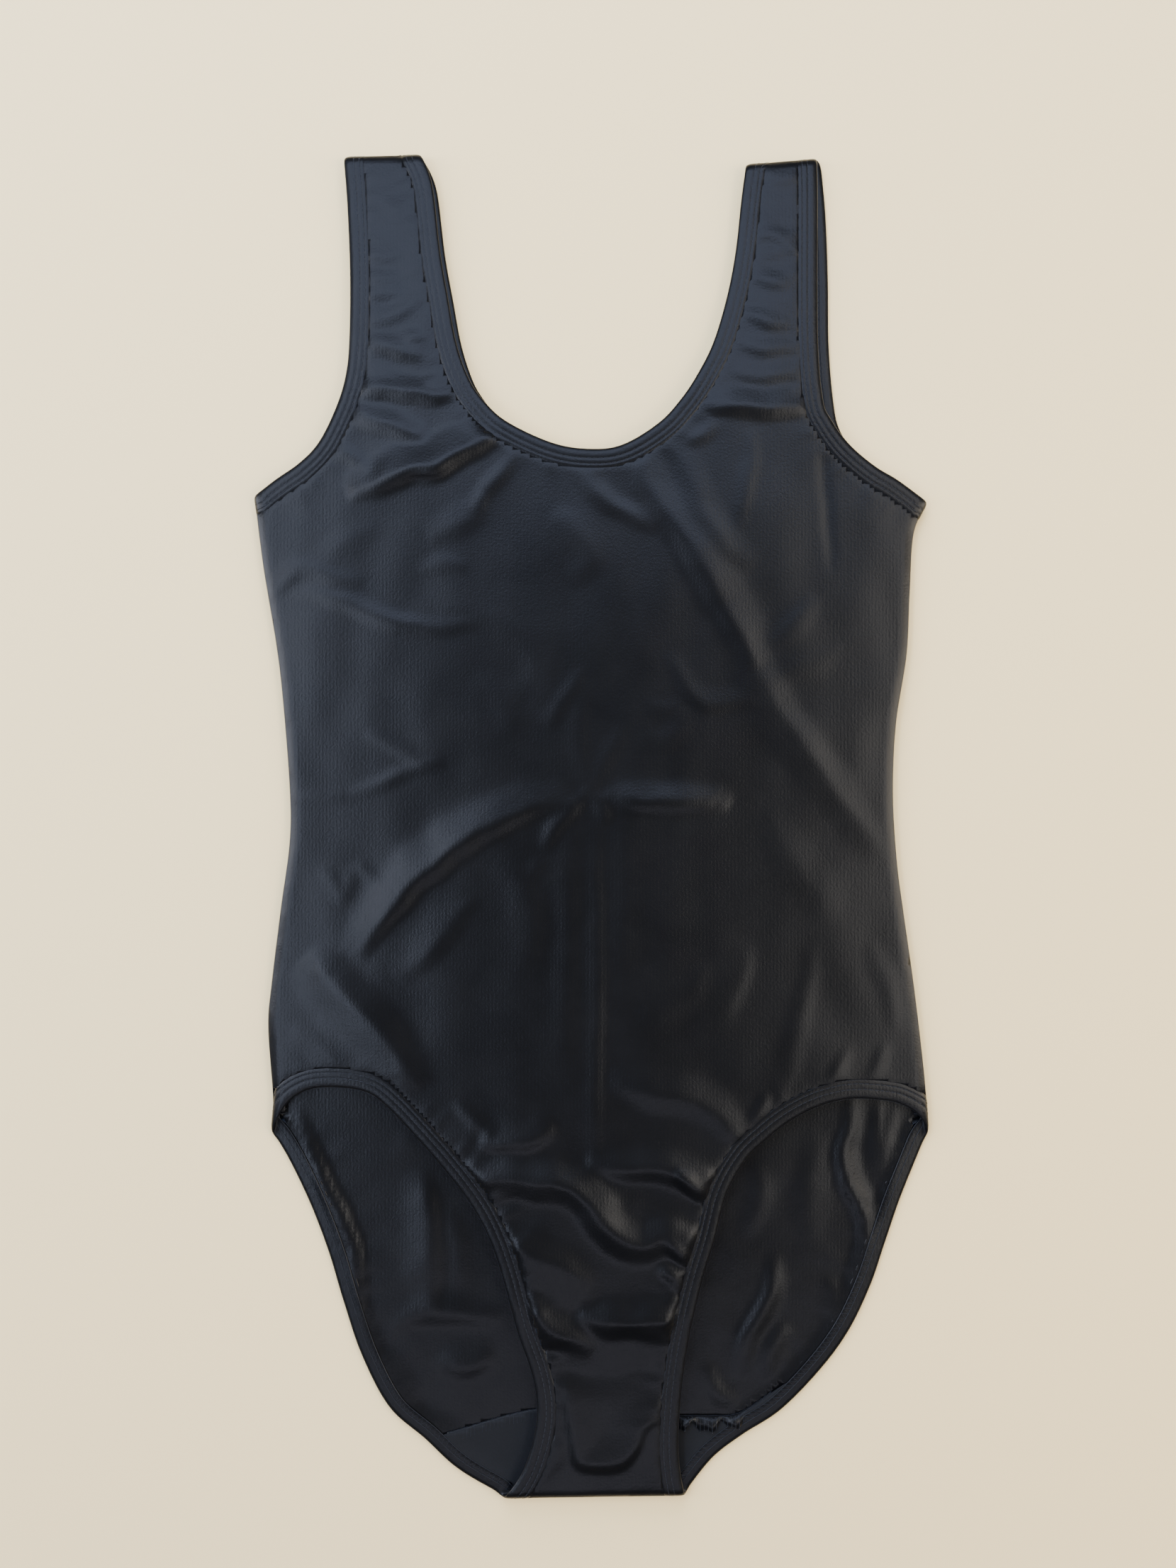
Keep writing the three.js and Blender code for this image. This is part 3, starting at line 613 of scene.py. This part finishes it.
knit = add_node(jersey, "ShaderNodeMix", {"data_type": "FLOAT", "Factor": 0.88},
                {"A": wales.outputs["Fac"], "B": grain.outputs["Fac"]})
raise_surface(jersey, shader, knit.outputs["Result"], 0.8, 0.00012)
gloss = add_node(jersey, "ShaderNodeMapRange", {"To Min": 0.31, "To Max": 0.37}, {"Value": cloud.outputs["Fac"]})
jersey.node_tree.links.new(tone.outputs["Color"], shader.inputs["Base Color"])
jersey.node_tree.links.new(gloss.outputs["Result"], shader.inputs["Roughness"])
shader.inputs["Specular IOR Level"].default_value = 0.2
shader.inputs["Sheen Weight"].default_value = 0.06
shader.inputs["Sheen Roughness"].default_value = 0.35
shader.inputs["Sheen Tint"].default_value = linear("B9C6E0")

front_net = cloth_net(front, CELL)
shape_net(front_net, front, lay_front, 1)
back_net = cloth_net(back, CELL * 1.25)
shape_net(back_net, back, lay_back, -1)
for v in back_net.verts:
    v.co.y -= float(seam_course(v.co.x / MM)) * MM
bmesh.ops.bisect_plane(back_net, geom=[*back_net.verts, *back_net.edges, *back_net.faces],
                       plane_co=(0, SEAM_Y * MM, 0), plane_no=(0, 1, 0))
tail_net = back_net.copy()
for net, side in ((back_net, -1), (tail_net, 1)):
    beyond = [f for f in net.faces if side * (f.calc_center_median().y - SEAM_Y * MM) > 0]
    bmesh.ops.delete(net, geom=beyond, context="FACES")
    for v in net.verts:
        v.co.y += float(seam_course(v.co.x / MM)) * MM
tail_mesh = bpy.data.meshes.new("tail")
tail_net.to_mesh(tail_mesh)
lining_nets = [(front_net.copy(), -1), (tail_net.copy(), 1)]
tail_net.free()
front_net.from_mesh(tail_mesh)
bpy.data.meshes.remove(tail_mesh)
front_sheet = finish_object(front_net, "front_panel_cloth", jersey)
back_sheet = finish_object(back_net, "back_panel_cloth", jersey)
for sheet, node in ((front_sheet, "front_panel"), (back_sheet, "back_panel")):
    thicken(sheet, CLOTH)
    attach(sheet, "root")
    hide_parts(node)


# ---------------------------------------------------------------- hems
# Each opening's cloth is turned in over the elastic and held by a coverstitch. A hem is a band that runs
# along the front edge, round the fold at a closed edge, and back along the back edge.

ENDS = {"neck": ("right_shoulder", "left_shoulder"), "left_armhole": ("left_shoulder", "left_side"),
        "left_leg": ("left_side", "crotch"), "right_leg": ("crotch", "right_side"),
        "right_armhole": ("right_side", "right_shoulder")}
QUARTER = math.pi / 2 * math.sqrt((ROLL ** 2 + (FRONT_TOP - MIDDLE) ** 2) / 2)  # length of a layer's roll
FOLD_ZONE = 17.0  # stations this near to a fold are laid out on the unfolded cloth
STATION = 1.4


def unroll(distance):
    """Distance from a closed edge as seen from above, turned into length along the cloth."""
    rolled = QUARTER * 2 / math.pi * np.arccos(np.clip(1 - distance / ROLL, -1, 1))
    return np.where(distance >= ROLL, QUARTER + distance - ROLL, rolled)


def fold_at(opening, end):
    """Corner, direction along the closed edge and direction into the cloth, where an opening's edge ends."""
    shut = front[ENDS[opening][end]]
    corner = front[opening][-1 if end else 0]
    part = shut[:12] if end else shut[-12:]
    along = (part[-1] - part[0]) / np.linalg.norm(part[-1] - part[0])
    return corner, along, np.array([along[1], -along[0]])


def evened(line, step):
    """The same line with its points, and what they carry, at an even spacing."""
    length = lengths_along(line[:, :2])
    at = np.linspace(0, length[-1], max(3, round(length[-1] / step) + 1))
    return np.column_stack([np.interp(at, length, line[:, k]) for k in range(line.shape[1])])


def hem_stations(opening):
    """Runs of stations round an opening. Each is (fold or None, side, rows of place and direction inwards)."""
    runs = []
    near_fold = {}
    for side, layer in ((1, front), (-1, back)):
        line = layer[opening]
        rows = np.hstack([line, inward(line)])
        keep = np.ones(len(rows), bool)
        for end in (0, 1):
            corner, along, into = fold_at(opening, end)
            deep = (rows[:, :2] - corner) @ into
            half = np.arange(len(rows)) >= len(rows) / 2
            zone = (deep < FOLD_ZONE) & (half == bool(end))
            part = rows[zone]
            t = unroll(np.maximum((part[:, :2] - corner) @ into, 0))
            chart = np.column_stack([-side * t, (part[:, :2] - corner) @ along, -side * part[:, 2:] @ into,
                                     part[:, 2:] @ along])
            near_fold[side, end] = chart
            keep &= ~zone
        runs.append((None, side, rows[keep]))
    joined = []
    for end in (1, 0):
        first, second = near_fold[1, end], near_fold[-1, end]
        path = evened(np.vstack([first, second[::-1]] if end else [second[::-1], first]), STATION)
        for _ in range(8):
            path[1:-1] = 0.5 * path[1:-1] + 0.25 * (path[:-2] + path[2:])
        ahead = np.gradient(path[:, :2], axis=0)
        ahead /= np.linalg.norm(ahead, axis=1)[:, None]
        across = np.column_stack([-ahead[:, 1], ahead[:, 0]])
        across *= np.sign((across * path[:, 2:]).sum(axis=1).mean())
        path[3:-3, 2:] = across[3:-3]
        for _ in range(4):
            path[1:-1, 2:] = 0.5 * path[1:-1, 2:] + 0.25 * (path[:-2, 2:] + path[2:, 2:])
        path[:, 2:] /= np.linalg.norm(path[:, 2:], axis=1)[:, None]
        joined.append((fold_at(opening, end), 0, path))
    top = (None, 1, evened(runs[0][2], STATION))
    bottom = (None, -1, evened(runs[1][2][::-1], STATION))
    return [top, joined[0], bottom, joined[1]]


def on_hem(opening, section):
    """Points of a band: one row for each station, one column for each (distance inwards, height) of a section."""
    section = np.asarray(section, float)
    spots, sides, sines, normals = [], [], [], []
    for fold, side, rows in stations[opening]:
        for a in section[:, 0]:
            moved = rows[:, :2] + a * rows[:, 2:]
            if fold is None:
                spots.append(moved)
                sides.append(np.full(len(rows), side))
                sines.append(np.ones(len(rows)))
                normals.append(np.column_stack([np.zeros((len(rows), 2)), np.full(len(rows), side)]))
                continue
            corner, along, into = fold
            turn = np.clip(np.abs(moved[:, 0]) / QUARTER, 0, 1) * math.pi / 2
            deep = np.where(np.abs(moved[:, 0]) < QUARTER, ROLL * (1 - np.cos(turn)),
                            ROLL + np.abs(moved[:, 0]) - QUARTER)
            spots.append(corner + deep[:, None] * into + moved[:, 1:2] * along)
            which = np.where(moved[:, 0] < 0, 1, -1)
            sides.append(which)
            sines.append(np.sin(turn))
            normals.append(np.column_stack([-np.cos(turn)[:, None] * into, np.sin(turn) * which]))
    counts = [len(rows) for _, _, rows in stations[opening]]
    flat = np.vstack(spots)
    side = np.concatenate(sides)
    height = np.empty(len(flat))
    height[side > 0] = lay_front(*flat[side > 0].T)
    height[side < 0] = lay_back(*flat[side < 0].T)
    height = MIDDLE + (height - MIDDLE) * np.concatenate(sines)
    points = np.column_stack([flat, height])
    normal = np.vstack(normals)
    out, start = [], 0
    for count in counts:
        block = points[start:start + count * len(section)].reshape(len(section), count, 3)
        lean = normal[start:start + count * len(section)].reshape(len(section), count, 3)
        out.append((block + section[:, 1, None, None] * lean).transpose(1, 0, 2))
        start += count * len(section)
    return np.vstack(out)


def tube(points, close_length=True):
    """A bmesh over rows and columns of points in millimetres. Each row closes on itself, and the length may."""
    points = np.concatenate([points, points[:, :1]], axis=1)
    if close_length:
        points = np.concatenate([points, points[:1]], axis=0)
    rows, columns = points.shape[0] - 1, points.shape[1] - 1
    bm = bmesh.new()
    bmesh.ops.create_grid(bm, x_segments=rows, y_segments=columns, size=1.0)
    for v in bm.verts:
        v.co = points[round((v.co.x + 1) / 2 * rows), round((v.co.y + 1) / 2 * columns)] * MM
    bmesh.ops.remove_doubles(bm, verts=bm.verts, dist=1e-7)
    if not close_length:
        bmesh.ops.holes_fill(bm, edges=[e for e in bm.edges if e.is_boundary], sides=0)
    bmesh.ops.recalc_face_normals(bm, faces=bm.faces)
    return bm


# Cross-section of a hem: the face with its two stitch grooves, the folded edge, the turned cloth and the room
# for the elastic. Distance inwards from the folded edge, and height over the middle of the cloth.
HEM_SECTION = [
    (10.3, -0.05), (10.0, 0.16), (9.3, 0.36), (8.7, 0.46), (8.2, 0.44), (7.9, 0.36), (7.6, 0.36), (7.2, 0.46),
    (6.2, 0.5), (5.4, 0.46), (5.05, 0.38), (4.75, 0.38), (4.3, 0.47), (3.2, 0.5), (2.0, 0.44), (1.0, 0.26),
    (0.3, -0.06), (0.0, -0.4), (0.3, -0.85), (1.0, -1.2), (2.2, -1.36), (4.9, -1.3), (6.4, -1.36), (7.9, -1.22),
    (8.4, -1.0), (8.3, -0.75), (7.6, -0.62), (4.9, -0.66), (2.0, -0.68), (1.1, -0.5), (1.1, -0.15), (2.0, -0.02),
    (7.2, -0.08), (7.9, -0.4), (9.6, -0.35),
]
stations = {opening: hem_stations(opening) for opening in OPENINGS}
for opening in OPENINGS:
    hem = finish_object(tube(on_hem(opening, HEM_SECTION)), f"{opening}_hem", jersey)
    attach(hem, "root")


# ---------------------------------------------------------------- elastics
# A flat woven rubber elastic, 6 mm wide, lies inside each hem and is joined into a ring.

ELASTIC_SECTION = [(1.4, -0.6), (4.2, -0.62), (7.1, -0.6), (7.3, -0.35), (7.1, -0.12), (4.2, -0.1), (1.4, -0.12),
                   (1.2, -0.35)]
woven_elastic, shader = material("elastic_woven_rubber")
place = object_place(woven_elastic)
weave = add_node(woven_elastic, "ShaderNodeTexVoronoi", {"Scale": 1400.0}, {"Vector": place})
raise_surface(woven_elastic, shader, weave.outputs["Distance"], 0.4, 0.0001)
shader.inputs["Base Color"].default_value = linear("26272A")
shader.inputs["Roughness"].default_value = 0.75
for opening in OPENINGS:
    elastic = finish_object(tube(on_hem(opening, ELASTIC_SECTION)), f"{opening}_elastic_band", woven_elastic)
    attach(elastic, "root")
    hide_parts(f"{opening}_elastic")


# ---------------------------------------------------------------- coverstitch
# Two rows of needle stitches on the face, and the looper thread that zigzags between them on the inside.
# The thread is textured nylon, dyed to the cloth.

NEEDLE_ROWS = (4.9, 7.75)
STITCH_LENGTH = 2.9
STITCH_GAP = 0.45
THREAD = 0.17  # radius
LOOPER = 0.16

nylon_thread, shader = material("nylon_thread_textured")
place = object_place(nylon_thread)
fuzz = add_node(nylon_thread, "ShaderNodeTexNoise", {"Scale": 2600.0, "Detail": 2.0}, {"Vector": place})
raise_surface(nylon_thread, shader, fuzz.outputs["Fac"], 0.5, 0.00008)
shader.inputs["Base Color"].default_value = linear("15171B")
shader.inputs["Roughness"].default_value = 0.6
shader.inputs["Specular IOR Level"].default_value = 0.25
shader.inputs["Sheen Weight"].default_value = 0.1
shader.inputs["Sheen Tint"].default_value = linear("B9C6E0")


def thread_object(name, lines, radius, look):
    """Round threads along open lines of points in millimetres, as one mesh."""
    curve = bpy.data.curves.new(name, "CURVE")
    curve.dimensions = "3D"
    curve.bevel_depth = radius * MM
    curve.bevel_resolution = 1
    curve.use_fill_caps = True
    for line in lines:
        spline = curve.splines.new("POLY")
        spline.points.add(len(line) - 1)
        flat = np.ones((len(line), 4))
        flat[:, :3] = np.asarray(line) * MM
        spline.points.foreach_set("co", flat.ravel())
    source = bpy.data.objects.new(name + "_curve", curve)
    bpy.context.scene.collection.objects.link(source)
    evaluated = source.evaluated_get(bpy.context.evaluated_depsgraph_get())
    mesh = bpy.data.meshes.new_from_object(evaluated)
    bpy.data.objects.remove(source)
    mesh.name = name
    mesh.materials.clear()
    mesh.materials.append(look)
    mesh.shade_smooth()
    made = bpy.data.objects.new(name, mesh)
    bpy.context.scene.collection.objects.link(made)
    return made


def at_length(line, where):
    """Points at given lengths along a closed line of points."""
    ring = np.vstack([line, line[:1]])
    length = lengths_along(ring)
    where = np.asarray(where) % length[-1]
    return np.column_stack([np.interp(where, length, ring[:, k]) for k in range(3)])


def ring_length(line):
    return np.linalg.norm(np.diff(np.vstack([line, line[:1]]), axis=0), axis=1).sum()


for opening in OPENINGS:
    stitches = []
    for row in NEEDLE_ROWS:
        face = on_hem(opening, [(row, 0.2), (row, 0.42)])
        low, high = face[:, 0], face[:, 1]
        count = round(ring_length(low) / STITCH_LENGTH)
        pitch = ring_length(low) / count
        scale = ring_length(high) / ring_length(low)
        starts = np.arange(count) * pitch
        run = pitch - STITCH_GAP
        marks = [at_length(low, starts), at_length(high, scale * (starts + 0.2 * run)),
                 at_length(high, scale * (starts + 0.8 * run)), at_length(low, starts + run)]
        stitches += list(np.stack(marks, axis=1))
    needle = thread_object(f"{opening}_needle_stitches", stitches, THREAD, nylon_thread)
    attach(needle, "root")

    under = on_hem(opening, [(NEEDLE_ROWS[0] - 0.2, -1.42), (NEEDLE_ROWS[1] + 0.35, -1.34)])
    count = 2 * round(ring_length(under[:, 0]) / STITCH_LENGTH)
    steps = np.linspace(0, 1, count, endpoint=False)
    sides = [at_length(under[:, k], steps * ring_length(under[:, k])) for k in (0, 1)]
    zigzag = np.where(np.arange(count)[:, None] % 2 == 0, sides[0], sides[1])
    loops = [np.vstack([zigzag, zigzag[:1]])]
    for side in sides:
        loops.append(np.vstack([side, side[:1]]))
    looper = thread_object(f"{opening}_looper_thread", loops, LOOPER, nylon_thread)
    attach(looper, "root")
    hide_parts(f"{opening}_coverstitch")


# ---------------------------------------------------------------- side and shoulder seams
# The two edges of cloth are sewn together and overlocked. The allowance lies inside, along the fold.

ALLOWANCE = [(1.3, -0.45), (3.5, -0.6), (5.8, -0.5), (6.2, 0.0), (5.8, 0.5), (3.5, 0.6), (1.3, 0.45)]
OVERLOCK_TURN = [(2.0, 0.78), (5.9, 0.7), (6.5, 0.0), (5.9, -0.7), (2.0, -0.78)]
OVERLOCK_PITCH = 2.4


def beside(line, section, base):
    """Rows of points beside a flat line: (distance to its right, height over base)."""
    into = inward(line)
    rows = [np.column_stack([line + a * into, np.full(len(line), base + b)]) for a, b in section]
    return np.stack(rows, axis=1)


def overlock(rows):
    """One thread that goes round and round an edge: rows of points, one column for each place in its turn."""
    columns = rows.shape[1]
    return np.array([rows[i, k] for i in range(len(rows)) for k in range(columns)])


for name in ("left_side", "right_side", "left_shoulder", "right_shoulder"):
    whole = front[name]
    line = evened(whole[10:-10], 1.6)
    allowance = finish_object(tube(beside(line, ALLOWANCE, MIDDLE), close_length=False), f"{name}_allowance", jersey)
    turns = beside(evened(line, OVERLOCK_PITCH), OVERLOCK_TURN, MIDDLE)
    thread = thread_object(f"{name}_overlock", [overlock(turns)], LOOPER, nylon_thread)
    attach(allowance, "root")
    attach(thread, "root")
    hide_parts(f"{name}_seam")


# ---------------------------------------------------------------- crotch seam
# Joins the front panel's tail to the back panel. It was stretched as it was sewn, so its free edge ruffles.

SEAM_WIDTH = 5.2
RUFFLE = 12.5  # length of one ruffle


def ruffled(x, section):
    """Rows of points across the seam, for places along it. It ruffles most towards the left leg."""
    wave = np.sin(2 * np.pi * x / RUFFLE + 1.4 * np.sin(2 * np.pi * x / 41))
    loose = 0.05 + 0.95 * smoothstep(x, 20, 48) * smoothstep(-x, -86, -70)
    rows = []
    for a, b in section:
        share = a / SEAM_WIDTH * loose
        y = SEAM_Y + seam_course(x) + 0.8 - a + share * (2.2 * wave + 1.2 * np.sin(2 * np.pi * x / 7.1))
        rise = share * (1.2 + 1.2 * np.cos(2 * np.pi * x / RUFFLE + 0.6))
        z = lay_back(x, y) + 0.6 + 0.35 * loose + b * (0.4 + 0.6 * loose) + rise
        rows.append(np.column_stack([x, y, z]))
    return np.stack(rows, axis=1)


leg_gap = HEM + 1.5
middle = np.arange(-130.0, 130.0, 0.5)
course = np.column_stack([middle, SEAM_Y + seam_course(middle)])
edge = np.vstack([back["left_leg"], back["right_leg"]])
within = course[inside(course, outline_of(back)) & (nearest(course, edge)[0] > leg_gap)]
seam_start, seam_end = within[0, 0], within[-1, 0]
x = np.arange(seam_start, seam_end, 1.2)
band = finish_object(tube(ruffled(x, [(0, -0.4), (2.6, -0.5), (SEAM_WIDTH, -0.4), (SEAM_WIDTH, 0.35), (2.6, 0.5),
                                      (0, 0.4)]), close_length=False), "crotch_seam_allowance", jersey)
turns = ruffled(np.arange(seam_start, seam_end, 2.0), [(0.6, 0.62), (SEAM_WIDTH + 0.1, 0.5),
                                                      (SEAM_WIDTH + 0.4, 0.0), (SEAM_WIDTH + 0.1, -0.5),
                                                      (0.6, -0.5)])
thread = thread_object("crotch_seam_overlock", [overlock(turns)], LOOPER, nylon_thread)
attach(band, "root")
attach(thread, "root")
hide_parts("crotch_seam")


# ---------------------------------------------------------------- crotch lining
# Black cotton jersey inside the crotch, from the crotch seam round the fold to an overlocked free edge.

LINING = 0.5
LINING_TOP = -243.0
LINING_DEPTH = 0.72  # under the middle of the outer cloth

cotton, shader = material("cotton_jersey_knitted")
place = object_place(cotton)
lint = add_node(cotton, "ShaderNodeTexNoise", {"Scale": 1100.0, "Detail": 3.0}, {"Vector": place})
raise_surface(cotton, shader, lint.outputs["Fac"], 0.5, 0.00012)
tone = add_node(cotton, "ShaderNodeValToRGB", links={"Fac": lint.outputs["Fac"]})
tone.color_ramp.elements[0].color = linear("0D0E10")
tone.color_ramp.elements[1].color = linear("141518")
cotton.node_tree.links.new(tone.outputs["Color"], shader.inputs["Base Color"])
shader.inputs["Roughness"].default_value = 0.8
shader.inputs["Specular IOR Level"].default_value = 0.2

lining_net = bmesh.new()
for net, side in lining_nets:
    if side < 0:
        above = [f for f in net.faces if f.calc_center_median().y > LINING_TOP * MM]
        bmesh.ops.delete(net, geom=above, context="FACES")
    net.normal_update()
    for v in net.verts:
        v.co += side * LINING_DEPTH * MM * v.normal
    part = bpy.data.meshes.new("part")
    net.to_mesh(part)
    net.free()
    lining_net.from_mesh(part)
    bpy.data.meshes.remove(part)
lining = finish_object(lining_net, "crotch_lining_cloth", cotton)
thicken(lining, LINING)
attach(lining, "root")
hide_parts("crotch_lining")

edge_start = np.interp(LINING_TOP, front["right_leg"][:, 1], front["right_leg"][:, 0]) + leg_gap
edge_end = np.interp(-LINING_TOP, -front["left_leg"][:, 1], front["left_leg"][:, 0]) - leg_gap
x = np.arange(edge_start, edge_end, 2.0)
rows = []
for along, over in ((-3.6, 0.45), (0.3, 0.4), (0.7, 0.0), (0.3, -0.4), (-3.6, -0.45)):
    y = np.full(len(x), LINING_TOP + along)
    rows.append(np.column_stack([x, y, lay_front(x, y) - LINING_DEPTH + over * 0.9]))
thread = thread_object("lining_edge_overlock", [overlock(np.stack(rows, axis=1))], 0.14, nylon_thread)
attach(thread, "root")
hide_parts("lining_overlock")


# ---------------------------------------------------------------- care label
# A blank loop of woven polyester satin tape, caught in the left side seam. It lies inside, on the back.

LABEL_MIDDLE = -81.0
LABEL_LONG = 38.0
satin_tape, shader = material("polyester_satin_tape_woven")
place = object_place(satin_tape)
twill = add_node(satin_tape, "ShaderNodeTexWave", {"bands_direction": "DIAGONAL", "Scale": 300.0}, {"Vector": place})
raise_surface(satin_tape, shader, twill.outputs["Fac"], 0.3, 0.00008)
shader.inputs["Base Color"].default_value = linear("DDDCD6")
shader.inputs["Roughness"].default_value = 0.45
side_line = front["left_side"]
line = side_line[np.abs(side_line[:, 1] - LABEL_MIDDLE) < LABEL_LONG / 2]
reach = np.linspace(6.8, 36.0, 14)
droop = -1.7 * smoothstep(reach, 8, 26)
section = []
for height, way in ((0.34, 1), (-0.24, -1), (-0.06, 1), (0.16, -1)):  # out, round the fold and back, then the inside
    section += [(a, height + d) for a, d in list(zip(reach - (0.4 if abs(height) < 0.2 else 0), droop))[::way]]
label = finish_object(tube(beside(evened(line, 2.0), section, MIDDLE), close_length=False), "care_label_tape",
                      satin_tape)
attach(label, "root")
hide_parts("care_label")


bpy.context.view_layer.update()
